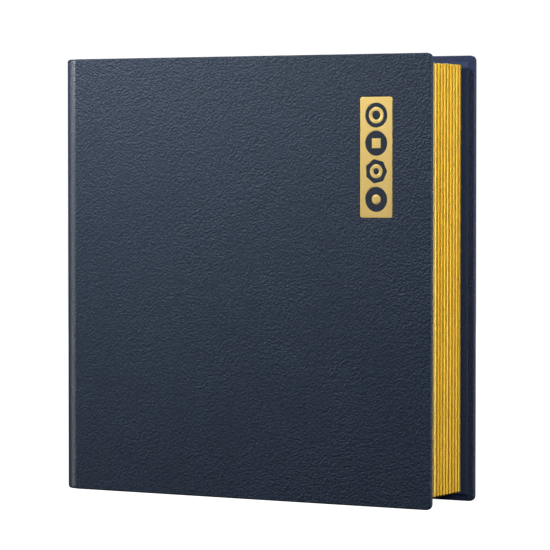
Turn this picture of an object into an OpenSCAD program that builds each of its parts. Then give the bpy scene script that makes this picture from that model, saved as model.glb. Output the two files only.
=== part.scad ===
// Coin album: a padded leatherette case round a four-ring binder with twelve framed pocket leaves.
// The album stands on its tail edge. X runs from the spine to the fore-edge, the front cover
// faces -Y, Z is up, and the origin is the middle of the footprint. Millimetres.

/* [Case] */
// Width from the spine to the fore-edge
album_w = 222; // [212:1:240]
// Height from tail to head
album_h = 230; // [222:1:260]
// Thickness over both covers
album_t = 52; // [50:0.5:56]
// Thickness of a wrapped cover
cover_t = 3; // [2.6:0.1:3]
// Radius of the two fore-edge corners of each cover
corner_r = 3; // [1:0.5:8]
// Outer radius of the rounded joint between spine and cover
joint_r = 9; // [6:0.5:10]

/* [Leaves] */
// Number of leaves, half of them turned with each cover
leaf_count = 12; // [2:2:12]
// Distance from one leaf to the next
leaf_pitch = 3.4; // [3.3:0.05:3.5]
// Thickness of a leaf's gilt rim
page_t = 2.8; // [2.4:0.1:3]
// Overhang of the covers past the leaves at the fore-edge
fore_square = 6; // [3:0.5:8]
// Overhang of the covers past the leaves at head and tail
head_square = 4.7; // [4:0.1:8]

/* [Pockets] */
// Pockets side by side
pocket_cols = 3; // [2:1:4]
// Pockets one above another
pocket_rows = 4; // [2:1:5]
// Width of the bars between pockets
bar_w = 2.4; // [1.6:0.2:4]
// Open mouth above each front window, where a coin goes in
mouth_h = 8; // [6:0.5:12]
// Thickness of the clear film
film_t = 0.3; // [0.2:0.05:0.4]

/* [Ring mechanism] */
// Number of rings
ring_count = 4; // [2:1:4]
// Distance from one ring to the next
ring_pitch = 52; // [40:1:54]
// Radius of a ring to the middle of its wire
ring_r = 18; // [17.5:0.1:18]
// Radius of the ring wire
wire_r = 1.4; // [1:0.1:1.4]
// Length of the steel ring base
base_len = 188; // [184:1:196]

/* [Label] */
// Width of the gold label
label_w = 18.4; // [14:0.1:24]
// Height of the gold label
label_h = 61.2; // [57:0.1:80]
// Distance from the label to the fore-edge of the cover
label_to_fore = 21.9; // [15:0.1:40]
// Distance from the label to the head of the cover
label_to_head = 21.8; // [15:0.1:60]

/* [Hidden] */
$fn = 48;
cut = 1;                      // how far a cutting shape runs past a face

// Case
x_spine = -album_w / 2;       // outer face of the spine
x_fore = album_w / 2;         // fore-edge of the covers
y_out = album_t / 2;          // outer face of the back cover
y_in = y_out - cover_t;       // inner face of a cover, under its lining
skin_t = 0.6;                 // leatherette over the boards
turn_t = 0.3;                 // leatherette turned in round the inner edge
turn_w = 14;                  // how far it is turned in
lining_t = 0.3;               // lining paper
lining_gap = 3.5;             // leatherette left showing round the lining
spine_y = y_out - joint_r;    // half width of the flat spine
cover_x0 = x_spine + joint_r; // spine-side edge of the covers
strip_t = 1;                  // leatherette and cloth of a joint
strip_lift = 0.4;             // a joint stays this far inside head and tail

// Ring mechanism. The leaves turn about the ring centre.
ring_x = x_spine + cover_t + lining_t + 21.2;
ring_z = [for (i = [0 : ring_count - 1]) album_h / 2 + (i - (ring_count - 1) / 2) * ring_pitch];
ring_end = 9.6;               // angle from a ring's foot to where its wire ends
ring_split = 0.5;             // angle left open where two half rings meet
base_x = x_spine + cover_t + lining_t;
base_half = 13;               // half width of the ring base
base_rise = 7;                // height of its arch
base_t = 0.9;                 // steel of the ring base
base_r = (base_half * base_half + base_rise * base_rise) / (2 * base_rise);
base_z = (album_h - base_len) / 2;
wire_gap = 0.8;               // room round a wire in the ring base
slot_y0 = 3.4;                // where a ring's slot in the base starts
slot_y1 = 11;                 // and where it ends
blade_x = base_x + 2.3;       // under side of the blades
blade_t = 0.8;
blade_y0 = 0.3;               // inner edge of a blade
blade_y1 = 8.4;               // outer edge, which rocks in the ring base
blade_inset = 4.3;            // from the end of the ring base to the end of a blade
rivet_inset = 10;             // from the end of the ring base to a rivet
rivet_r = 1.9;
rivet_shoulder_r = 2.6;
rivet_head_r = 4;
rivet_head_h = 1.4;
rivet_depth = 1.8;            // how far a rivet reaches into the spine board
rivet_foot = cover_t - turn_t - rivet_depth;   // its end, from the outer face of the spine
rivet_crown = 0.7;            // top of a rivet head, as a share of its radius
shoulder_gap = 0.3;           // from the shoulder of a rivet to the arch
fit = 0.05;                   // clearance of a rivet in its hole
notch_gap = 0.9;              // clearance of a blade round the shoulder of a rivet

// Trigger levers, one at each end of the ring base
trigger_w = 9;
trigger_x = base_x + 2;       // pivot height
trigger_in = 3;               // pivot distance in from the end of the base
trigger_r = 0.9;              // rolled pivot
trigger_t = 0.9;              // steel of a lever
trigger_root = 0.6;           // how far the arm stands off the middle of the pivot
trigger_lip = 0.5;            // slope of the tab's end
trigger_rise = 9.6;           // thumb tab, measured from the pivot
trigger_out = 10;
foot_len = 2.2;
foot_w = 3;
foot_t = 0.7;
foot_drop = 0.65;             // from the pivot down to the under side of the foot

// Leaves
board_from_ring = 32;         // from the ring centre to the spine-side edge of a page
page_x0 = ring_x + board_from_ring;
page_x1 = x_fore - fore_square;
page_z0 = head_square;
page_z1 = album_h - head_square;
page_r = 0.6;                 // corner radius of a page
rim_w = 3;                    // gilt rim at head, tail and fore-edge
rim_spine = 7;                // wider rim that grips the binding strip
field_x0 = page_x0 + rim_spine;
field_x1 = page_x1 - rim_w;
field_z0 = page_z0 + rim_w;
field_z1 = page_z1 - rim_w;
pocket_w = (field_x1 - field_x0 - (pocket_cols - 1) * bar_w) / pocket_cols;
pocket_h = (field_z1 - field_z0 - (pocket_rows - 1) * bar_w) / pocket_rows;
tab_t = 0.6;                  // binding strip
tab_share = 0.5;              // strip offset at the rings, as a share of the leaf's own offset
tab_x0 = ring_x + 10;
tab_x1 = ring_x + 22.5;
web_x1 = ring_x + 30.5;
grip = 5;                     // how far the strip is glued into the page
tab_inset = 2;                // strip ends inside the head and tail of the page
hole_x0 = ring_x + 13;
hole_x1 = ring_x + 20.8;
hole_r = 2.8;

// Label
label_t = 0.3;
label_r = 1.2;
label_x0 = x_fore - label_to_fore - label_w;
label_z0 = album_h - label_to_head - label_h;
symbol_count = 4;
symbol_r = 6.3;
symbol_pitch = 14.2;
sign_ring_r = 4.2;            // inside of the ringed coin's ring
sign_dot_r = 2.3;             // and its dot
sign_square = 5;              // side of the square hole
sign_seven_r = 3.6;           // hole of the seven-sided coin
sign_small_r = 1.6;           // and its dot
sign_hole_r = 2.5;            // round hole

// Place of leaf i, and of its strip at the rings; leaf 1 is nearest the front cover
function leaf_y(i) = (i - (leaf_count + 1) / 2) * leaf_pitch;
function tab_y(i) = tab_share * leaf_y(i);

LEAVES = [1 : leaf_count];

// ---- helpers ----

// Stands a drawing in (x, z) upright, between two places along Y
module upright(y0, y1) {
    translate([0, y1, 0]) rotate([90, 0, 0]) linear_extrude(y1 - y0) children();
}

// Stands a drawing in (y, z) upright, between two places along X
module across(x0, x1) {
    translate([x0, 0, 0]) rotate([90, 0, 90]) linear_extrude(x1 - x0) children();
}

// Rectangle with its own radius at the left and at the right corners
module panel(x0, z0, x1, z1, r_left, r_right) {
    translate([x0 + r_left, z0]) square([x1 - x0 - r_left - r_right, z1 - z0]);
    for (side = [[x0, r_left, x0 + r_left], [x1 - r_right, r_right, x1 - r_right]]) {
        if (side[1] > 0) {
            translate([side[0], z0 + side[1]]) square([side[1], z1 - z0 - 2 * side[1]]);
            for (z = [z0 + side[1], z1 - side[1]])
                translate([side[2], z]) circle(side[1]);
        }
    }
}

// Outline of a cover, drawn smaller by inset on every side
module cover_outline(inset) {
    panel(cover_x0 + inset, inset, x_fore - inset, album_h - inset, 0, max(corner_r - inset, 0));
}

// Outline of the flat spine, drawn smaller by inset at head and tail
module spine_outline(inset_y, inset_z) {
    translate([-spine_y + inset_y, inset_z])
        square([2 * (spine_y - inset_y), album_h - 2 * inset_z]);
}

// The front half of the case is modelled, and the back half is its mirror image
module at_back() {
    mirror([0, 1, 0]) children();
}

// ---- covers ----

module wrapped_cover() {
    difference() {
        upright(-y_out, -y_in) cover_outline(0);
        upright(-y_out + skin_t, -y_in - turn_t) cover_outline(skin_t);
        upright(-y_in - turn_t - cut, -y_in + cut) cover_outline(turn_w);
    }
}

module cover_board() {
    upright(-y_out + skin_t, -y_in - turn_t) cover_outline(skin_t);
}

module cover_lining() {
    upright(-y_in - turn_t, -y_in) cover_outline(turn_w);
    upright(-y_in, -y_in + lining_t) cover_outline(lining_gap);
}

module label_outline() {
    panel(label_x0, label_z0, label_x0 + label_w, label_z0 + label_h, label_r, label_r);
}

module front_cover() {
    color("#2b3446") difference() {
        wrapped_cover();
        upright(-y_out - cut, -y_out + label_t) label_outline();
    }
}

module front_board() {
    color("#8a8478") cover_board();
}

module front_lining() {
    color("#20232c") cover_lining();
}

module back_cover() {
    color("#2b3446") at_back() wrapped_cover();
}

module back_board() {
    color("#8a8478") at_back() cover_board();
}

module back_lining() {
    color("#20232c") at_back() cover_lining();
}

// ---- label ----

// Four plain coin signs: ringed, square-holed, seven-sided and round-holed
module coin_sign(k) {
    difference() {
        circle(symbol_r, $fn = k == 2 ? 7 : 48);
        if (k == 0) circle(sign_ring_r);
        if (k == 1) square(sign_square, center = true);
        if (k == 2) circle(sign_seven_r);
        if (k == 3) circle(sign_hole_r);
    }
    if (k == 0) circle(sign_dot_r);
    if (k == 2) circle(sign_small_r);
}

module coin_signs() {
    for (k = [0 : symbol_count - 1])
        translate([label_x0 + label_w / 2,
                   label_z0 + label_h / 2 + ((symbol_count - 1) / 2 - k) * symbol_pitch])
            coin_sign(k);
}

module label_plate() {
    color("#e5c16c") upright(-y_out, -y_out + label_t) difference() {
        label_outline();
        coin_signs();
    }
}

module label_symbols() {
    color("#2b3446") upright(-y_out, -y_out + label_t) coin_signs();
}

// ---- spine ----

module at_rivets() {
    for (z = [base_z + rivet_inset, album_h - base_z - rivet_inset])
        translate([x_spine, 0, z]) rotate([0, 90, 0]) children();
}

module rivet_holes() {
    at_rivets() translate([0, 0, rivet_foot]) cylinder(r = rivet_r + fit, h = cover_t + cut);
}

module spine_cover() {
    color("#2b3446") difference() {
        across(x_spine, x_spine + cover_t) spine_outline(0, 0);
        across(x_spine + skin_t, x_spine + cover_t - turn_t) spine_outline(skin_t, skin_t);
        across(x_spine + cover_t - turn_t - cut, x_spine + cover_t + cut)
            spine_outline(skin_t, turn_w);
    }
}

module spine_board() {
    color("#8a8478") difference() {
        across(x_spine + skin_t, x_spine + cover_t - turn_t) spine_outline(skin_t, skin_t);
        rivet_holes();
    }
}

module spine_lining() {
    color("#20232c") difference() {
        union() {
            across(x_spine + cover_t - turn_t, x_spine + cover_t) spine_outline(skin_t, turn_w);
            across(x_spine + cover_t, base_x) spine_outline(skin_t, lining_gap);
        }
        rivet_holes();
    }
}

// Quarter-round leatherette from the edge of the spine to the edge of the front cover
module joint_strip() {
    translate([cover_x0, -spine_y, strip_lift])
        rotate([0, 0, 180])
            rotate_extrude(angle = 90)
                translate([joint_r - strip_t, 0]) square([strip_t, album_h - 2 * strip_lift]);
}

module front_joint() {
    color("#343e52") joint_strip();
}

module back_joint() {
    color("#343e52") at_back() joint_strip();
}

// ---- ring mechanism ----

module base_arch(r) {
    translate([base_x + base_rise - base_r, 0]) circle(r, $fn = 96);
}

module ring_base() {
    color("silver") difference() {
        translate([0, 0, base_z]) linear_extrude(base_len) intersection() {
            difference() {
                base_arch(base_r);
                base_arch(base_r - base_t);
            }
            translate([base_x, -base_half]) square([base_rise + cut, 2 * base_half]);
        }
        at_rivets() cylinder(r = rivet_r + fit, h = ring_x - x_spine);
        for (z = ring_z, side = [-1, 1])
            translate([base_x, side * (slot_y0 + slot_y1) / 2, z])
                cube([2 * (base_rise + cut), slot_y1 - slot_y0, 2 * (wire_r + wire_gap)],
                     center = true);
    }
}

module rivets() {
    crown = base_x + base_rise - x_spine;      // outside of the arch
    color("gainsboro") at_rivets() {
        translate([0, 0, rivet_foot]) cylinder(r = rivet_r, h = crown - rivet_foot);
        translate([0, 0, cover_t + lining_t])
            cylinder(r = rivet_shoulder_r, h = base_rise - base_t - shoulder_gap);
        translate([0, 0, crown])
            cylinder(r1 = rivet_head_r, r2 = rivet_crown * rivet_head_r, h = rivet_head_h);
    }
}

module blade() {
    color("gray") difference() {
        translate([blade_x, -blade_y1, base_z + blade_inset])
            cube([blade_t, blade_y1 - blade_y0, base_len - 2 * blade_inset]);
        at_rivets() cylinder(r = rivet_shoulder_r + notch_gap, h = ring_x - x_spine);
    }
}

module half_rings() {
    color("silver") difference() {
        for (z = ring_z)
            translate([ring_x, 0, z])
                rotate([0, 0, 180 + ring_end])
                    rotate_extrude(angle = 180 - ring_end - ring_split, $fn = 64)
                        translate([ring_r, 0]) circle(wire_r, $fn = 24);
        translate([x_spine, -y_out, 0]) cube([blade_x + blade_t - x_spine, album_t, album_h]);
    }
}

module front_blade() {
    blade();
}

module rear_blade() {
    at_back() blade();
}

module front_rings() {
    half_rings();
}

module rear_rings() {
    at_back() half_rings();
}

// Lever at the tail end: a rolled pivot, a short foot under the blades and a thumb tab
module trigger() {
    translate([trigger_x, 0, base_z + trigger_in]) rotate([90, 0, 0]) {
        linear_extrude(trigger_w, center = true) {
            circle(trigger_r);
            polygon([[0, trigger_root],
                     [trigger_rise, -trigger_out],
                     [trigger_rise - trigger_t, -trigger_out - trigger_lip],
                     [-trigger_root, 0]]);
        }
        linear_extrude(foot_w, center = true)
            translate([-foot_drop, 0]) square([foot_t, foot_len]);
    }
}

module lower_trigger() {
    color("silver") trigger();
}

module upper_trigger() {
    color("silver") translate([0, 0, album_h]) mirror([0, 0, 1]) trigger();
}

// ---- leaves ----

// Outline of pocket (c, r), counted from the spine and from the tail
module pocket(c, r) {
    translate([field_x0 + c * (pocket_w + bar_w), field_z0 + r * (pocket_h + bar_w)])
        square([pocket_w, pocket_h]);
}

// Card leaf: a full-thickness rim, and a thinner lattice that the film lies on
module page(i) {
    y = leaf_y(i);
    color("#c9a23c") difference() {
        upright(y - page_t / 2, y + page_t / 2)
            difference() {
                panel(page_x0, page_z0, page_x1, page_z1, 0, page_r);
                for (c = [0 : pocket_cols - 1], r = [0 : pocket_rows - 1]) pocket(c, r);
            }
        for (y0 = [y - page_t / 2 - cut, y + page_t / 2 - film_t])
            translate([field_x0, y0, field_z0])
                cube([field_x1 - field_x0, film_t + cut, field_z1 - field_z0]);
        translate([page_x0 - cut, y - tab_t / 2, page_z0 + tab_inset])
            cube([grip + cut, tab_t, page_z1 - page_z0 - 2 * tab_inset]);
    }
}

// Clear film: one sheet behind the pockets, and in front a strip for each row of them
module windows(i) {
    y = leaf_y(i);
    color("lightblue", 0.4) {
        translate([field_x0, y + page_t / 2 - film_t, field_z0])
            cube([field_x1 - field_x0, film_t, field_z1 - field_z0]);
        for (r = [0 : pocket_rows - 1]) {
            below = r > 0 ? bar_w / 2 : 0;      // film over the bar under this row
            translate([field_x0, y - page_t / 2, field_z0 + r * (pocket_h + bar_w) - below])
                cube([field_x1 - field_x0, film_t, pocket_h - mouth_h + below]);
        }
    }
}

// Strip that is glued into the page and hangs on the rings by long holes
module binding_strip(i) {
    route = [[tab_x0, tab_y(i)], [tab_x1, tab_y(i)], [web_x1, leaf_y(i)],
             [page_x0 + grip, leaf_y(i)]];
    last = len(route) - 1;
    color("#30343c") difference() {
        translate([0, 0, page_z0 + tab_inset])
            linear_extrude(page_z1 - page_z0 - 2 * tab_inset)
                polygon(concat([for (p = route) p - [0, tab_t / 2]],
                               [for (k = [last : -1 : 0]) route[k] + [0, tab_t / 2]]));
        for (z = ring_z) translate([0, tab_y(i) + tab_t, z]) rotate([90, 0, 0]) {
            for (x = [hole_x0 + hole_r, hole_x1 - hole_r]) translate([x, 0, 0])
                cylinder(r = hole_r, h = 2 * tab_t);
            translate([hole_x0 + hole_r, -hole_r, 0])
                cube([hole_x1 - hole_x0 - 2 * hole_r, 2 * hole_r, 2 * tab_t]);
        }
    }
}

// ---- draw ----

front_cover();
front_board();
front_lining();
label_plate();
label_symbols();
back_cover();
back_board();
back_lining();
spine_cover();
spine_board();
spine_lining();
front_joint();
back_joint();
ring_base();
rivets();
front_blade();
rear_blade();
front_rings();
rear_rings();
upper_trigger();
lower_trigger();
for (i = LEAVES) {
    page(i);
    windows(i);
    binding_strip(i);
}
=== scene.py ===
"""Looks of the coin album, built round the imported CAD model. Lengths are in metres."""
import math

import bmesh
import bpy
from mathutils import Matrix, Vector


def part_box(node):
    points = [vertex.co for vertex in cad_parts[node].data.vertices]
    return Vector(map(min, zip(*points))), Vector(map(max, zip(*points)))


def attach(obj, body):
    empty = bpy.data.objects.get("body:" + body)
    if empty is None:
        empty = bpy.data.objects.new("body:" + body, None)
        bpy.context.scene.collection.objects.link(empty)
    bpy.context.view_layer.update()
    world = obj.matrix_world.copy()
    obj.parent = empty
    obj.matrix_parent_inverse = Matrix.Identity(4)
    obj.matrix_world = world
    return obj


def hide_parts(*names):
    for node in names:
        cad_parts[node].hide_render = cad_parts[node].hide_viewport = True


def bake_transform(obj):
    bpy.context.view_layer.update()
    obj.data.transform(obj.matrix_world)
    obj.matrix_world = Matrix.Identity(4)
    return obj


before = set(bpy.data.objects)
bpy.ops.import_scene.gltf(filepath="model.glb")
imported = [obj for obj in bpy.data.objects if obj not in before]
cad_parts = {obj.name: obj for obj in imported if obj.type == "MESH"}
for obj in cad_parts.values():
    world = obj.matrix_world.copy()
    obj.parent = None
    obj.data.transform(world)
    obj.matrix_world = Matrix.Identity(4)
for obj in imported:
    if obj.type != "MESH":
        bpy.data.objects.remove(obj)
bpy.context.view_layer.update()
MM = 0.001

# ---------------------------------------------------------------------------
# Dimensions, read from the frame wherever the CAD model holds them
# ---------------------------------------------------------------------------
cover_lo, cover_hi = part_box("front_cover")
spine_lo, spine_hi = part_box("spine_cover")
board_lo, board_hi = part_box("front_board")
label_lo, label_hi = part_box("label_plate")
LEAVES = sorted(int(n.split("_")[1]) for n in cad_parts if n.startswith("page_"))

HEAD = cover_hi.z
COVER_T = cover_hi.y - cover_lo.y
SKIN_T = board_lo.y - cover_lo.y              # leatherette over a board
BOARD_D = board_hi.y - cover_lo.y             # depth of the board's inner face
CORNER_R = 3 * MM                             # fore-edge corners of the covers
EDGE_ROLL = 0.8 * MM                          # roll of the leatherette over the outer edge
INNER_ROLL = 0.7 * MM                         # and over the inner edge
TURN_W = 14 * MM                              # leatherette turned in round the inner edge
# (inset, depth) of the wrap from the end of the turn-in, back under it and round the board
TURNED_IN = ((TURN_W, COVER_T), (TURN_W, BOARD_D), (SKIN_T, BOARD_D), (SKIN_T, SKIN_T))

JOINT_R = cover_lo.x - spine_lo.x             # outer radius of the rounded joints
JOINT_T = 3.0 * MM                            # leatherette and padding of a joint
JOINT_STEPS = 24
HEAD_ROLL = 1.5 * MM                          # roll of spine and joints at head and tail

LABEL_R = 1.2 * MM                            # corners of the label
# (growth, depth) of the sunk field round the label, from its floor up to the cover's face
LABEL_FIELD = ((0.12 * MM, 0.34 * MM), (0.16 * MM, 0.20 * MM), (0.34 * MM, 0.07 * MM),
               (0.8 * MM, 0))
FOIL_T, FOIL_BEVEL = 0.34 * MM, 0.12 * MM
FOIL_PROUD = 0.06 * MM                        # how far the foil stands in front of its CAD plate
INLAY_T, INLAY_BEVEL = 0.24 * MM, 0.05 * MM   # navy seen through the foil
INLAY_SUNK = 0.04 * MM
SIGN_R = 6.3 * MM                             # coin signs
SIGN_PITCH = 14.2 * MM
SIGN_COUNT = 4
SIGN_RING_R, SIGN_DOT_R = 4.2 * MM, 2.3 * MM  # ringed coin
SIGN_SQUARE = 5 * MM                          # side of the square hole
SIGN_SEVEN_R, SIGN_SMALL_R = 3.6 * MM, 1.6 * MM  # seven-sided coin
SIGN_HOLE_R = 2.5 * MM                        # round hole

COLS, ROWS = 3, 4                             # pockets of a leaf
BAR_W = 2.4 * MM                              # card between two pockets
RIM_SPINE, RIM_W = 7 * MM, 3 * MM             # rim at the spine, and along the other edges
PAGE_R = 0.8 * MM                             # fore-edge corners of a leaf
PAGE_ROLL = 0.65 * MM                         # rounding of its cut edges
PAGE_GROOVE = 0.12 * MM                       # line between its two card layers
GILT_IN = 0.7 * MM                            # gilding that crept in between the leaves
FILM_T, FILM_BEVEL = 0.3 * MM, 0.06 * MM
MOUTH_H = 8 * MM                              # open part of a pocket, above its front film
NOTCH_R = 7 * MM                              # thumb notch
NOTCH_RISE = 0.45 * NOTCH_R                   # its centre above the film's edge
NOTCH_EDGE = 27                               # angle at which it leaves that edge, in degrees


# ---------------------------------------------------------------------------
# Node trees
# ---------------------------------------------------------------------------
class Tree:
    """A material's node tree, built one node at a time."""

    def __init__(self, name):
        self.material = bpy.data.materials.new(name)
        self.material.use_nodes = True
        self.nodes = self.material.node_tree.nodes
        self.links = self.material.node_tree.links
        self.shader = self.nodes["Principled BSDF"]

    def add(self, kind, settings=None, **inputs):
        node = self.nodes.new("ShaderNode" + kind)
        for key, value in (settings or {}).items():
            setattr(node, key, value)
        for key, value in inputs.items():
            self.feed(node, key.replace("_", " "), value)
        return node

    def feed(self, node, socket, value):
        socket = node.inputs[int(socket)] if socket.isdigit() else node.inputs[socket]
        if isinstance(value, bpy.types.NodeSocket):
            self.links.new(value, socket)
        else:
            socket.default_value = value

    def set(self, **inputs):
        for key, value in inputs.items():
            self.feed(self.shader, key.replace("_", " "), value)

    def scaled_coords(self, x, y, z):
        """Object coordinates in metres, times a number on each axis."""
        coords = self.add("TexCoord").outputs["Object"]
        return self.add("Mapping", Vector=coords, Scale=(x, y, z)).outputs["Vector"]

    def offset(self, coords, colour, amount):
        """Coordinates shifted by a colour times a distance in metres."""
        node = self.add("VectorMath", {"operation": "MULTIPLY_ADD"})
        self.links.new(colour, node.inputs[0])
        node.inputs[1].default_value = (amount,) * 3
        self.links.new(coords, node.inputs[2])
        return node.outputs["Vector"]

    def math(self, operation, first, second):
        node = self.add("Math", {"operation": operation})
        self.feed(node, "0", first)
        self.feed(node, "1", second)
        return node.outputs["Value"]

    def multiply(self, first, second):
        node = self.add("MixRGB", {"blend_type": "MULTIPLY"}, Fac=1.0, Color1=first, Color2=second)
        return node.outputs["Color"]

    def noise(self, vector, scale, detail=2.0, roughness=0.5):
        return self.add("TexNoise", Vector=vector, Scale=scale, Detail=detail,
                        Roughness=roughness).outputs["Fac"]

    def ramp(self, value, stops):
        """A colour ramp through [(place, colour), ...]."""
        node = self.add("ValToRGB", Fac=value)
        elements = node.color_ramp.elements
        while len(elements) < len(stops):
            elements.new(0.5)
        for element, (place, colour) in zip(elements, stops):
            element.position = place
            element.color = (*colour, 1)
        return node.outputs["Color"]

    def grey(self, value, low, high, place_low=0.3, place_high=0.7):
        return self.ramp(value, [(place_low, (low,) * 3), (place_high, (high,) * 3)])

    def bump(self, height, distance, strength=1.0, normal=None):
        inputs = dict(Height=height, Distance=distance, Strength=strength)
        if normal is not None:
            inputs["Normal"] = normal
        return self.add("Bump", **inputs).outputs["Normal"]


# ---------------------------------------------------------------------------
# Materials. Noise and cell scales are per metre.
# ---------------------------------------------------------------------------
NAVY = (0.0275, 0.0510, 0.0980)               # outside of the case
LINING = (0.0480, 0.0760, 0.1750)             # endpapers
TURN_IN_NAVY = (0.0420, 0.0660, 0.1600)       # leatherette round the inner faces


def shaded(colour, factor):
    return tuple(c * factor for c in colour)


def leatherette(name, colour=NAVY, relief=1.0, roughness=0.5, gloss=0.36):
    """PU leatherette: small pebbles, creases between them darkened with painted shade, and a slow
    drift of relief.
    """
    t = Tree(name)
    coords = t.scaled_coords(1, 1, 1)
    bend = t.add("TexNoise", Vector=coords, Scale=500.0, Detail=1.0).outputs["Color"]
    where = t.offset(coords, bend, 0.5 * MM)
    cells = t.add("TexVoronoi", {"feature": "SMOOTH_F1"}, Vector=where, Scale=860.0,
                  Smoothness=0.15).outputs["Distance"]
    wrinkle = t.noise(where, 900.0, 1.0, 0.5)
    pebble = t.math("SUBTRACT", wrinkle, cells)
    fine = t.noise(coords, 3200.0, 2.0, 0.6)
    drift = t.noise(coords, 30.0, 2.0, 0.5)

    # The colour darkens into the creases between the pebbles. This is painted shade where the
    # creases would lie in shadow; the spread from pebble to pebble is the grain's own tone.
    grain_and_crease_shade = t.ramp(pebble, [(0.0, shaded(colour, 0.74)), (0.2, shaded(colour, 0.98)),
                              (0.5, shaded(colour, 1.08))])
    tone = t.grey(drift, 0.96, 1.04)
    rough = t.grey(pebble, roughness + 0.06, roughness - 0.06, 0.0, 0.4)
    strength = t.grey(drift, 0.6 * relief, 1.0 * relief)
    normal = t.bump(pebble, 0.36 * MM, strength)
    normal = t.bump(fine, 0.02 * MM, 0.4, normal)
    t.set(Base_Color=t.multiply(grain_and_crease_shade, tone), Roughness=rough, Normal=normal)
    t.shader.inputs["Specular IOR Level"].default_value = gloss
    return t.material


def gilt():
    """Gold leaf on card edges: long streaks along the edge, and faint chatter across it."""
    t = Tree("gilt_edge")
    streak = t.noise(t.scaled_coords(700, 700, 2), 1.0, 2.0, 0.5)
    chatter = t.noise(t.scaled_coords(700, 700, 300), 1.0, 2.0, 0.5)
    colour = t.ramp(streak, [(0.30, (0.70, 0.38, 0.012)), (0.48, (0.90, 0.55, 0.045)),
                             (0.66, (1.00, 0.74, 0.15))])
    rough = t.grey(chatter, 0.36, 0.50)
    normal = t.bump(streak, 0.05 * MM, 0.4)
    normal = t.bump(chatter, 0.02 * MM, 0.5, normal)
    t.set(Base_Color=colour, Roughness=rough, Normal=normal, Metallic=0.85)
    return t.material


def gold_foil():
    """Satin hot-stamped foil with a faint trace of the leather grain under it."""
    t = Tree("gold_foil")
    coords = t.scaled_coords(1, 1, 1)
    under = t.noise(coords, 900.0, 2.0, 0.5)
    cloud = t.noise(coords, 60.0, 2.0, 0.5)
    colour = t.ramp(cloud, [(0.3, (0.98, 0.710, 0.235)), (0.7, (1.00, 0.745, 0.265))])
    t.set(Base_Color=colour, Roughness=t.grey(under, 0.47, 0.55), Metallic=0.85,
          Normal=t.bump(under, 0.03 * MM, 0.15))
    return t.material


def card():
    """Dark card of the leaves, with paper fibres."""
    t = Tree("page_card")
    coords = t.scaled_coords(1, 1, 1)
    fibre = t.noise(coords, 1800.0, 4.0, 0.7)
    drift = t.noise(coords, 35.0, 3.0, 0.5)
    colour = t.ramp(fibre, [(0.35, (0.010, 0.011, 0.016)), (0.7, (0.022, 0.024, 0.032))])
    t.set(Base_Color=colour, Roughness=t.grey(drift, 0.62, 0.74),
          Normal=t.bump(fibre, 0.04 * MM, 0.6))
    return t.material


def lining_paper():
    """Navy endpaper, embossed with a leather print a little flatter than the cover's."""
    t = Tree("lining_paper")
    coords = t.scaled_coords(1, 1, 1)
    cells = t.add("TexVoronoi", {"feature": "SMOOTH_F1"}, Vector=coords, Scale=640.0,
                  Smoothness=0.5).outputs["Distance"]
    fibre = t.noise(coords, 1500.0, 4.0, 0.65)
    colour = t.ramp(fibre, [(0.3, shaded(LINING, 0.85)), (0.72, shaded(LINING, 1.12))])
    normal = t.bump(cells, 0.18 * MM, 0.5)
    t.set(Base_Color=colour, Roughness=t.grey(fibre, 0.58, 0.7),
          Normal=t.bump(fibre, 0.02 * MM, 0.5, normal))
    t.shader.inputs["Specular IOR Level"].default_value = 0.25
    return t.material


def film():
    """Clear soft PVC with a slight ripple."""
    t = Tree("clear_film")
    ripple = t.noise(t.scaled_coords(1, 1, 1), 70.0, 2.0, 0.5)
    colour = t.ramp(ripple, [(0.3, (0.80, 0.85, 0.88)), (0.7, (0.88, 0.92, 0.94))])
    t.set(Base_Color=colour, Roughness=0.07, Normal=t.bump(ripple, 0.5 * MM, 0.25), IOR=1.5,
          Alpha=0.16)
    return t.material


def strip_plastic():
    """Dark flexible plastic with an embossed leather print."""
    t = Tree("strip_plastic")
    coords = t.scaled_coords(1, 1, 1)
    pebble = t.add("TexVoronoi", {"feature": "F1"}, Vector=coords, Scale=900.0)
    scuff = t.noise(coords, 120.0, 3.0, 0.6)
    colour = t.ramp(scuff, [(0.3, (0.012, 0.013, 0.018)), (0.75, (0.026, 0.029, 0.038))])
    t.set(Base_Color=colour, Roughness=t.grey(scuff, 0.38, 0.52),
          Normal=t.bump(pebble.outputs["Distance"], 0.05 * MM, 0.5))
    return t.material


def nickel():
    """Bright nickel plate with light draw marks and handling haze."""
    t = Tree("nickel_plate")
    haze = t.noise(t.scaled_coords(1, 1, 1), 90.0, 3.0, 0.6)
    marks = t.noise(t.scaled_coords(2600, 2600, 60), 1.0, 2.0, 0.5)
    colour = t.ramp(haze, [(0.3, (0.62, 0.61, 0.58)), (0.7, (0.76, 0.755, 0.735))])
    t.set(Base_Color=colour, Metallic=1.0, Roughness=t.grey(haze, 0.16, 0.28),
          Normal=t.bump(marks, 0.01 * MM, 0.5))
    return t.material


def rolled_steel():
    """Dull steel of the hidden blades, with rolling marks along the height."""
    t = Tree("rolled_steel")
    marks = t.noise(t.scaled_coords(1800, 1800, 25), 1.0, 3.0, 0.6)
    colour = t.ramp(marks, [(0.3, (0.30, 0.305, 0.31)), (0.7, (0.46, 0.465, 0.47))])
    t.set(Base_Color=colour, Metallic=1.0, Roughness=t.grey(marks, 0.34, 0.5),
          Normal=t.bump(marks, 0.02 * MM, 0.5))
    return t.material


def greyboard():
    """Grey bookbinder's board inside the covers."""
    t = Tree("greyboard")
    fibre = t.noise(t.scaled_coords(1, 1, 1), 700.0, 5.0, 0.7)
    colour = t.ramp(fibre, [(0.3, (0.17, 0.16, 0.14)), (0.7, (0.33, 0.31, 0.28))])
    t.set(Base_Color=colour, Roughness=0.9, Normal=t.bump(fibre, 0.1 * MM, 0.6))
    return t.material


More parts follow.
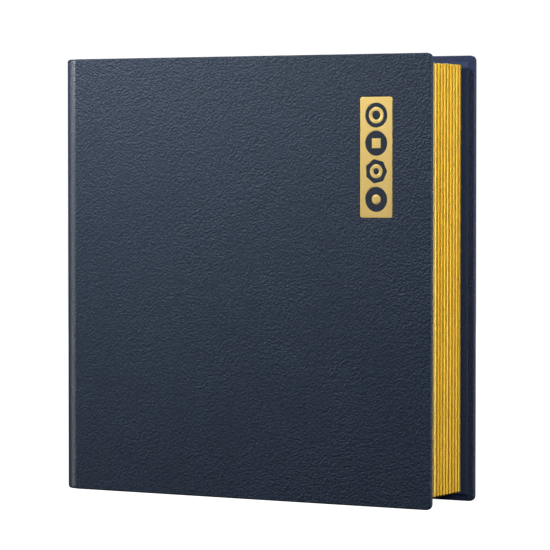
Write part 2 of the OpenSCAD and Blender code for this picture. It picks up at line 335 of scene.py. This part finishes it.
LEATHER = leatherette("leatherette", gloss=0.37)
JOINT_LEATHER = leatherette("leatherette_joint", relief=0.4, roughness=0.38, gloss=1.0)
TURN_IN = leatherette("leatherette_turn_in", TURN_IN_NAVY, relief=0.4, roughness=0.6, gloss=0.2)
SIGN_NAVY = leatherette("label_navy", shaded(NAVY, 0.7), relief=0.4)
GILT = gilt()
FOIL = gold_foil()
CARD = card()
PAPER = lining_paper()
FILM = film()
PLASTIC = strip_plastic()
NICKEL = nickel()
STEEL = rolled_steel()
BOARD = greyboard()


# ---------------------------------------------------------------------------
# Mesh helpers
# ---------------------------------------------------------------------------
SHARPEST = 0.02 * MM                          # smallest corner, so that outlines keep their points
WELD = 0.002 * MM                             # points closer than this become one


def arc(centre, radius, start, stop, steps):
    """Points of an arc in a plane, from one angle to another, in degrees."""
    angles = [math.radians(start + (stop - start) * k / steps) for k in range(steps + 1)]
    return [(centre[0] + radius * math.cos(a), centre[1] + radius * math.sin(a)) for a in angles]


def rounded_box_outline(x0, x1, z0, z1, r_left, r_right, steps=8):
    """Counter-clockwise outline in (x, z), with one radius at the left and one at the right."""
    left, right = max(r_left, SHARPEST), max(r_right, SHARPEST)
    return (arc((x1 - right, z0 + right), right, -90, 0, steps)
            + arc((x1 - right, z1 - right), right, 0, 90, steps)
            + arc((x0 + left, z1 - left), left, 90, 180, steps)
            + arc((x0 + left, z0 + left), left, 180, 270, steps))


def mesh_object(name, points, faces, materials, material_of=None, sharp=35.0):
    """A mesh with outward normals, smooth except at edges sharper than that angle."""
    mesh = bpy.data.meshes.new(name)
    mesh.from_pydata([tuple(p) for p in points], [], faces)
    for m in materials:
        mesh.materials.append(m)
    bm = bmesh.new()
    bm.from_mesh(mesh)
    bmesh.ops.remove_doubles(bm, verts=bm.verts, dist=WELD)
    bmesh.ops.recalc_face_normals(bm, faces=bm.faces)
    if material_of:
        for f in bm.faces:
            f.material_index = material_of(f.calc_center_median(), f.normal)
    bm.to_mesh(mesh)
    bm.free()
    mesh.polygons.foreach_set("use_smooth", [True] * len(mesh.polygons))
    mesh.set_sharp_from_angle(angle=math.radians(sharp))
    obj = bpy.data.objects.new(name, mesh)
    bpy.context.scene.collection.objects.link(obj)
    return obj


def weighted_normals(obj):
    modifier = obj.modifiers.new("weighted_normals", "WEIGHTED_NORMAL")
    modifier.keep_sharp = True
    modifier.weight = 80
    return obj


def loft(rings, closed=False):
    """Points and faces through rings of equal length. Closed joins the last ring to the first;
    otherwise both ends are filled."""
    count = len(rings[0])
    points = [p for ring in rings for p in ring]
    faces = []
    spans = len(rings) if closed else len(rings) - 1
    for r in range(spans):
        a, b = r * count, (r + 1) % len(rings) * count
        for k in range(count):
            n = (k + 1) % count
            faces.append((a + k, a + n, b + n, b + k))
    if not closed:
        last = (len(rings) - 1) * count
        faces.append(tuple(range(count)))
        faces.append(tuple(last + k for k in range(count)))
    return points, faces


def quarter(radius, steps=5):
    """(inset, depth) over a rolled edge, from the face round to the side."""
    return [(radius * (1 - math.sin(a)), radius * (1 - math.cos(a)))
            for a in (math.pi / 2 * k / steps for k in range(steps + 1))]


def rolled_edge(outer, inner):
    """(inset, depth) from the outer face of the case, over its edge, to the inner face."""
    return quarter(outer) + [(i, COVER_T - d) for i, d in reversed(quarter(inner))]


# ---------------------------------------------------------------------------
# Case
# ---------------------------------------------------------------------------
def cover(name, side, node, body):
    """Leatherette wrap of one cover. side is -1 at the front and 1 at the back."""
    x0, x1 = cover_lo.x, cover_hi.x
    y_out = side * abs(cover_lo.y)

    def placed(outline, depth):
        return [(x, y_out - side * depth, z) for x, z in outline]

    def ring(inset, depth, spine_inset):
        return placed(rounded_box_outline(x0 + spine_inset, x1 - inset, inset, HEAD - inset,
                                          0, CORNER_R - inset), depth)

    def field_ring(grow, depth):
        return placed(rounded_box_outline(label_lo.x - grow, label_hi.x + grow,
                                          label_lo.z - grow, label_hi.z + grow,
                                          LABEL_R + grow, LABEL_R + grow), depth)

    def material_of(centre, normal):
        return 1 if side * normal.y < -0.5 else 0

    rings = [field_ring(grow, depth) for grow, depth in LABEL_FIELD] if side < 0 else []
    rings += [ring(i, d, 0) for i, d in rolled_edge(EDGE_ROLL, INNER_ROLL)]
    rings += [ring(i, d, i) for i, d in TURNED_IN]
    obj = mesh_object(name, *loft(rings), [LEATHER, TURN_IN], material_of)
    weighted_normals(obj)
    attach(obj, body)
    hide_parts(node)


def spine():
    """Leatherette wrap of the flat spine, rolled over at head and tail only."""
    def ring(inset, depth, side_inset):
        y1 = spine_hi.y - side_inset
        outline = rounded_box_outline(-y1, y1, inset, HEAD - inset, 0, 0)
        return [(spine_lo.x + depth, y, z) for y, z in outline]

    rings = [ring(i, d, 0) for i, d in rolled_edge(HEAD_ROLL, HEAD_ROLL * 0.9)]
    rings += [ring(i, d, SKIN_T) for i, d in TURNED_IN]
    obj = mesh_object("spine_wrap", *loft(rings), [LEATHER])
    weighted_normals(obj)
    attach(obj, "spine")
    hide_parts("spine_cover")


def joint(name, side, node):
    """Rounded leatherette between spine and cover, a quarter round with rolled head and tail."""
    centre = Vector((cover_lo.x, side * spine_hi.y))
    half = JOINT_T / 2
    tail = [(half * (1 - math.cos(a)), HEAD_ROLL * (1 - math.sin(a)))
            for a in (math.pi * k / 10 for k in range(11))]
    section = tail + [(depth, HEAD - z) for depth, z in reversed(tail)]

    def ring(angle):
        out = Vector((-math.cos(angle), side * math.sin(angle)))
        return [(*(centre + out * (JOINT_R - depth)), z) for depth, z in section]

    rings = [ring(math.pi / 2 * k / JOINT_STEPS) for k in range(JOINT_STEPS + 1)]
    obj = mesh_object(name, *loft(rings), [JOINT_LEATHER])
    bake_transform(obj)
    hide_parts(node)


# ---------------------------------------------------------------------------
# Label
# ---------------------------------------------------------------------------
def filled_shape(name, loops, y_face, thickness, bevel, material):
    """A flat plate in the plane of the cover, with even-odd holes and a fine rounded rim.
    Its face is at y_face and looks along -Y."""
    curve = bpy.data.curves.new(name, "CURVE")
    curve.dimensions = "2D"
    curve.fill_mode = "BOTH"
    curve.extrude = thickness / 2 - bevel
    curve.bevel_depth = bevel
    curve.bevel_resolution = 2
    curve.offset = -bevel
    for loop in loops:
        spline = curve.splines.new("POLY")
        spline.points.add(len(loop) - 1)
        for point, (x, z) in zip(spline.points, loop):
            point.co = (x, z, 0, 1)
        spline.use_cyclic_u = True
    source = bpy.data.objects.new(name + "_outline", curve)
    bpy.context.scene.collection.objects.link(source)
    bpy.context.view_layer.update()
    evaluated = source.evaluated_get(bpy.context.evaluated_depsgraph_get())
    mesh = bpy.data.meshes.new_from_object(evaluated)
    bpy.data.objects.remove(source)
    bpy.data.curves.remove(curve)
    upright = Matrix.Rotation(math.pi / 2, 4, "X")
    mesh.transform(Matrix.Translation((0, y_face + thickness / 2, 0)) @ upright)
    mesh.name = name
    mesh.materials.clear()
    mesh.materials.append(material)
    bm = bmesh.new()
    bm.from_mesh(mesh)
    bmesh.ops.remove_doubles(bm, verts=bm.verts, dist=0.003 * MM)
    bmesh.ops.recalc_face_normals(bm, faces=bm.faces)
    bm.to_mesh(mesh)
    bm.free()
    mesh.polygons.foreach_set("use_smooth", [True] * len(mesh.polygons))
    mesh.set_sharp_from_angle(angle=math.radians(50))
    obj = bpy.data.objects.new(name, mesh)
    bpy.context.scene.collection.objects.link(obj)
    return weighted_normals(obj)


def circle(centre, radius, steps=64, turn=0.0):
    return arc(centre, radius, turn, turn + 360 - 360 / steps, steps - 1)


def coin_sign(k, centre):
    """Outlines of one coin: ringed, square-holed, seven-sided or round-holed."""
    if k == 0:
        return [circle(centre, SIGN_R), circle(centre, SIGN_RING_R),
                circle(centre, SIGN_DOT_R)]
    if k == 1:
        return [circle(centre, SIGN_R), circle(centre, SIGN_SQUARE / math.sqrt(2), 4, 45)]
    if k == 2:
        return [circle(centre, SIGN_R, 7), circle(centre, SIGN_SEVEN_R),
                circle(centre, SIGN_SMALL_R)]
    return [circle(centre, SIGN_R), circle(centre, SIGN_HOLE_R)]


def label():
    """Gold foil plate with four coin signs cut out, and the navy that shows through them."""
    middle = (label_lo + label_hi) / 2
    top = middle.z + (SIGN_COUNT - 1) / 2 * SIGN_PITCH
    signs = [loop for k in range(SIGN_COUNT)
             for loop in coin_sign(k, (middle.x, top - k * SIGN_PITCH))]
    outline = rounded_box_outline(label_lo.x, label_hi.x, label_lo.z, label_hi.z,
                                  LABEL_R, LABEL_R)
    plate = filled_shape("label_foil", [outline] + signs, label_lo.y - FOIL_PROUD, FOIL_T,
                         FOIL_BEVEL, FOIL)
    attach(plate, "front")
    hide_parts("label_plate")
    inlay = filled_shape("label_signs", signs, label_lo.y + INLAY_SUNK, INLAY_T, INLAY_BEVEL,
                         SIGN_NAVY)
    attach(inlay, "front")
    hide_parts("label_symbols")


# ---------------------------------------------------------------------------
# Leaves
# ---------------------------------------------------------------------------
def leaf_grid(lo, hi):
    """Field of the pockets, and the pockets' (low, high) on each axis."""
    x0, x1 = lo.x + RIM_SPINE, hi.x - RIM_W
    z0, z1 = lo.z + RIM_W, hi.z - RIM_W
    w = (x1 - x0 - (COLS - 1) * BAR_W) / COLS
    h = (z1 - z0 - (ROWS - 1) * BAR_W) / ROWS
    columns = [(x0 + c * (w + BAR_W), x0 + c * (w + BAR_W) + w) for c in range(COLS)]
    rows = [(z0 + r * (h + BAR_W), z0 + r * (h + BAR_W) + h) for r in range(ROWS)]
    return (x0, x1, z0, z1), columns, rows


def lattice(columns, rows, y, half, first):
    """Points and faces of the card between the pockets, with the points numbered from first.
    The lines of the pockets make a grid of cells, and a cell is empty where a pocket is."""
    xs = [v for c in columns for v in c]
    zs = [v for r in rows for v in r]
    points, faces, index = [], [], {}

    def corner(a, b, s):
        if (a, b, s) not in index:
            index[a, b, s] = first + len(points)
            points.append((xs[a], y + s * half, zs[b]))
        return index[a, b, s]

    def solid(a, b):
        return 0 <= a < len(xs) - 1 and 0 <= b < len(zs) - 1 and (a % 2 == 1 or b % 2 == 1)

    def cell(a, b):
        low_left, low_right = (a, b), (a + 1, b)
        top_left, top_right = (a, b + 1), (a + 1, b + 1)
        for s in (-1, 1):
            outline = (low_left, low_right, top_right, top_left)
            faces.append(tuple(corner(*c, s) for c in outline))
        walls = ((-1, 0, low_left, top_left), (1, 0, low_right, top_right),
                 (0, -1, low_left, low_right), (0, 1, top_left, top_right))
        for da, db, p, q in walls:
            if not solid(a + da, b + db):
                faces.append((corner(*p, -1), corner(*q, -1), corner(*q, 1), corner(*p, 1)))

    for a in range(len(xs) - 1):
        for b in range(len(zs) - 1):
            if solid(a, b):
                cell(a, b)
    return points, faces


def page(i):
    """One card leaf: a gilt rim of two card layers, and the thinner lattice between the pockets."""
    lo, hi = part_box(f"page_{i}")
    y, half = (lo.y + hi.y) / 2, (hi.y - lo.y) / 2
    field, columns, rows = leaf_grid(lo, hi)
    face_side = [(GILT_IN, -half)] + [(inset, d - half) for inset, d in quarter(PAGE_ROLL, 3)]
    profile = face_side + [(0, -PAGE_GROOVE), (PAGE_GROOVE, 0), (0, PAGE_GROOVE)]
    profile += [(inset, -d) for inset, d in reversed(face_side)]

    rings = []
    for inset, dy in profile:
        outline = rounded_box_outline(lo.x + inset, hi.x - inset, lo.z + inset, hi.z - inset,
                                      0, PAGE_R - inset, 6)
        rings.append([(px, y + dy, pz) for px, pz in outline])
    for dy in (half, -half):
        outline = rounded_box_outline(*field, 0, 0, 6)
        rings.append([(px, y + dy, pz) for px, pz in outline])
    points, faces = loft(rings, closed=True)
    more_points, more_faces = lattice(columns, rows, y, half - FILM_T, len(points))

    def material_of(centre, normal):
        edge = min(hi.x - centre.x, centre.z - lo.z, hi.z - centre.z)
        return 0 if edge < GILT_IN and centre.x > lo.x + PAGE_ROLL else 1

    obj = mesh_object(f"leaf_card_{i}", points + more_points, faces + more_faces, [GILT, CARD],
                      material_of, sharp=40)
    weighted_normals(obj)
    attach(obj, f"leaf_{i}")
    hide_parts(f"page_{i}")


def window_loops(field, columns, rows):
    """Outlines of the front strips, with a thumb notch over each pocket."""
    x0, x1 = field[0], field[1]
    loops = []
    for r, (z0, z1) in enumerate(rows):
        low = z0 - (BAR_W / 2 if r else 0)
        top = z1 - MOUTH_H
        loop = [(x0, low), (x1, low), (x1, top)]
        for c0, c1 in reversed(columns):
            middle = ((c0 + c1) / 2, top + NOTCH_RISE)
            loop += arc(middle, NOTCH_R, -NOTCH_EDGE, NOTCH_EDGE - 180, 12)
        loop.append((x0, top))
        loops.append(loop)
    return loops


def windows(i):
    """Clear film of one leaf: a rear sheet, and a front strip for each row of pockets."""
    lo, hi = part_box(f"windows_{i}")
    field, columns, rows = leaf_grid(*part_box(f"page_{i}"))
    front = filled_shape(f"leaf_front_film_{i}", window_loops(field, columns, rows), lo.y, FILM_T,
                         FILM_BEVEL, FILM)
    rear = filled_shape(f"leaf_rear_film_{i}", [rounded_box_outline(*field, 0, 0, 2)],
                        hi.y - FILM_T, FILM_T, FILM_BEVEL, FILM)
    for obj in (front, rear):
        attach(obj, f"leaf_{i}")
    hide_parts(f"windows_{i}")
    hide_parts(f"windows_{i}")


# ---------------------------------------------------------------------------
# CAD nodes that stay, with their finish
# ---------------------------------------------------------------------------
def finish_nodes():
    """Materials of the CAD nodes that keep their own shape."""
    kept = {
        "front_board": BOARD, "back_board": BOARD, "spine_board": BOARD,
        "front_lining": PAPER, "back_lining": PAPER, "spine_lining": PAPER,
        "ring_base": NICKEL, "rivets": NICKEL, "front_rings": NICKEL, "rear_rings": NICKEL,
        "upper_trigger": NICKEL, "lower_trigger": NICKEL,
        "front_blade": STEEL, "rear_blade": STEEL,
    }
    kept.update({f"binding_strip_{i}": PLASTIC for i in LEAVES})
    for name, material in kept.items():
        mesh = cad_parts[name].data
        mesh.materials.clear()
        mesh.materials.append(material)


# ---------------------------------------------------------------------------
# Floor, light and camera
# ---------------------------------------------------------------------------
CAMERA_PLACE = (0.8314, -1.4400, 0.1764)
CAMERA_YAW = -29.821          # degrees, seen from above
CAMERA_TILT = -2.088          # and below the horizontal
CAMERA_LENS = 206.99          # mm, on a sensor 36 mm wide
FLOOR_HALF = 6.0
FLOOR_EMISSION, FLOOR_ALBEDO = 1.0, 0.30
BACKDROP_R = 8.0
DOME_LOW = -20                # elevation of the dome's lower edge, in degrees
DOME_EMISSION = 1.05
WORLD_STRENGTH = 0.03
# name, place, what it points at, (width, height), power in W, spread in degrees
LIGHTS = (
    ("key", (-0.30, -0.35, 0.42), (-0.06, -0.03, 0.25), (0.30, 0.10), 0.665, 100),
    ("spine_strip", (-0.87, -0.50, 0.08), (-0.106, -0.02, 0.10), (0.24, 0.9), 2.35, 180),
    ("fore_fill", (0.66, -0.17, 0.60), (0.108, 0.01, 0.20), (0.4, 0.4), 5.0, 180),
    ("fore_edge", (0.90, 0.52, 0.06), (0.105, 0.0, 0.09), (0.5, 0.5), 3.2, 180),
    ("back_soft", (-0.7, 1.3, 0.8), (0, 0, 0.12), (0.8, 0.8), 12.0, 180),
)


def look_at(obj, target):
    """Turn a light so that it points at a place."""
    obj.rotation_euler = (Vector(target) - obj.location).to_track_quat("-Z", "Y").to_euler()


def camera():
    data = bpy.data.cameras.new("camera")
    data.lens = CAMERA_LENS
    data.sensor_width = 36
    data.clip_start, data.clip_end = 0.05, 20
    cam = bpy.data.objects.new("camera", data)
    cam.location = CAMERA_PLACE
    cam.rotation_euler = (math.radians(90 + CAMERA_TILT), 0, math.radians(-CAMERA_YAW))
    bpy.context.scene.collection.objects.link(cam)
    bpy.context.scene.camera = cam


def area_light(name, location, target, size, power, spread):
    data = bpy.data.lights.new(name, "AREA")
    data.shape = "RECTANGLE"
    data.size, data.size_y = size
    data.energy = power
    data.spread = math.radians(spread)
    lamp = bpy.data.objects.new(name, data)
    lamp.location = location
    lamp.visible_camera = False
    look_at(lamp, target)
    bpy.context.scene.collection.objects.link(lamp)


def stage_object(name, points, faces, emission, albedo):
    """A plain white stage surface that the lights of the object don't bounce off."""
    t = Tree(name)
    t.set(Base_Color=(albedo, albedo, albedo, 1), Roughness=0.9, Specular_IOR_Level=0.0)
    t.shader.inputs["Emission Color"].default_value = (1, 1, 1, 1)
    t.shader.inputs["Emission Strength"].default_value = emission
    mesh = bpy.data.meshes.new(name)
    mesh.from_pydata(points, [], faces)
    mesh.materials.append(t.material)
    obj = bpy.data.objects.new(name, mesh)
    bpy.context.scene.collection.objects.link(obj)
    obj.visible_diffuse = False
    obj.visible_glossy = False
    return obj


def floor():
    """White floor that takes a faint shadow."""
    corners = [(-1, -1), (1, -1), (1, 1), (-1, 1)]
    points = [(x * FLOOR_HALF, y * FLOOR_HALF, 0) for x, y in corners]
    stage_object("floor", points, [(0, 1, 2, 3)], FLOOR_EMISSION, FLOOR_ALBEDO)


def backdrop():
    """White dome round everything, down to a little under the floor."""
    columns, rows = 32, 12
    points, faces = [], []
    for r in range(rows + 1):
        e = math.radians(DOME_LOW + (90 - DOME_LOW) * r / rows)
        for c in range(columns):
            a = 2 * math.pi * c / columns
            points.append((BACKDROP_R * math.cos(e) * math.cos(a),
                           BACKDROP_R * math.cos(e) * math.sin(a), BACKDROP_R * math.sin(e)))
    for r in range(rows):
        for c in range(columns):
            n = (c + 1) % columns
            faces.append((r * columns + c, r * columns + n, (r + 1) * columns + n,
                          (r + 1) * columns + c))
    dome = stage_object("backdrop", points, faces, DOME_EMISSION, 0.0)
    dome.visible_shadow = False


def studio():
    """Dim world, and soft lights that reach the object only from outside the picture."""
    world = bpy.data.worlds.new("studio")
    bpy.context.scene.world = world
    world.use_nodes = True
    background = world.node_tree.nodes["Background"]
    background.inputs["Color"].default_value = (1, 1, 1, 1)
    background.inputs["Strength"].default_value = WORLD_STRENGTH
    bpy.context.scene.view_settings.view_transform = "Standard"
    for light in LIGHTS:
        area_light(*light)


# ---------------------------------------------------------------------------
# Build
# ---------------------------------------------------------------------------
camera()
floor()
backdrop()
studio()
cover("front_cover_wrap", -1, "front_cover", "front")
cover("back_cover_wrap", 1, "back_cover", "back")
spine()
joint("front_joint_skin", -1, "front_joint")
joint("back_joint_skin", 1, "back_joint")
label()
for leaf in LEAVES:
    page(leaf)
    windows(leaf)
finish_nodes()
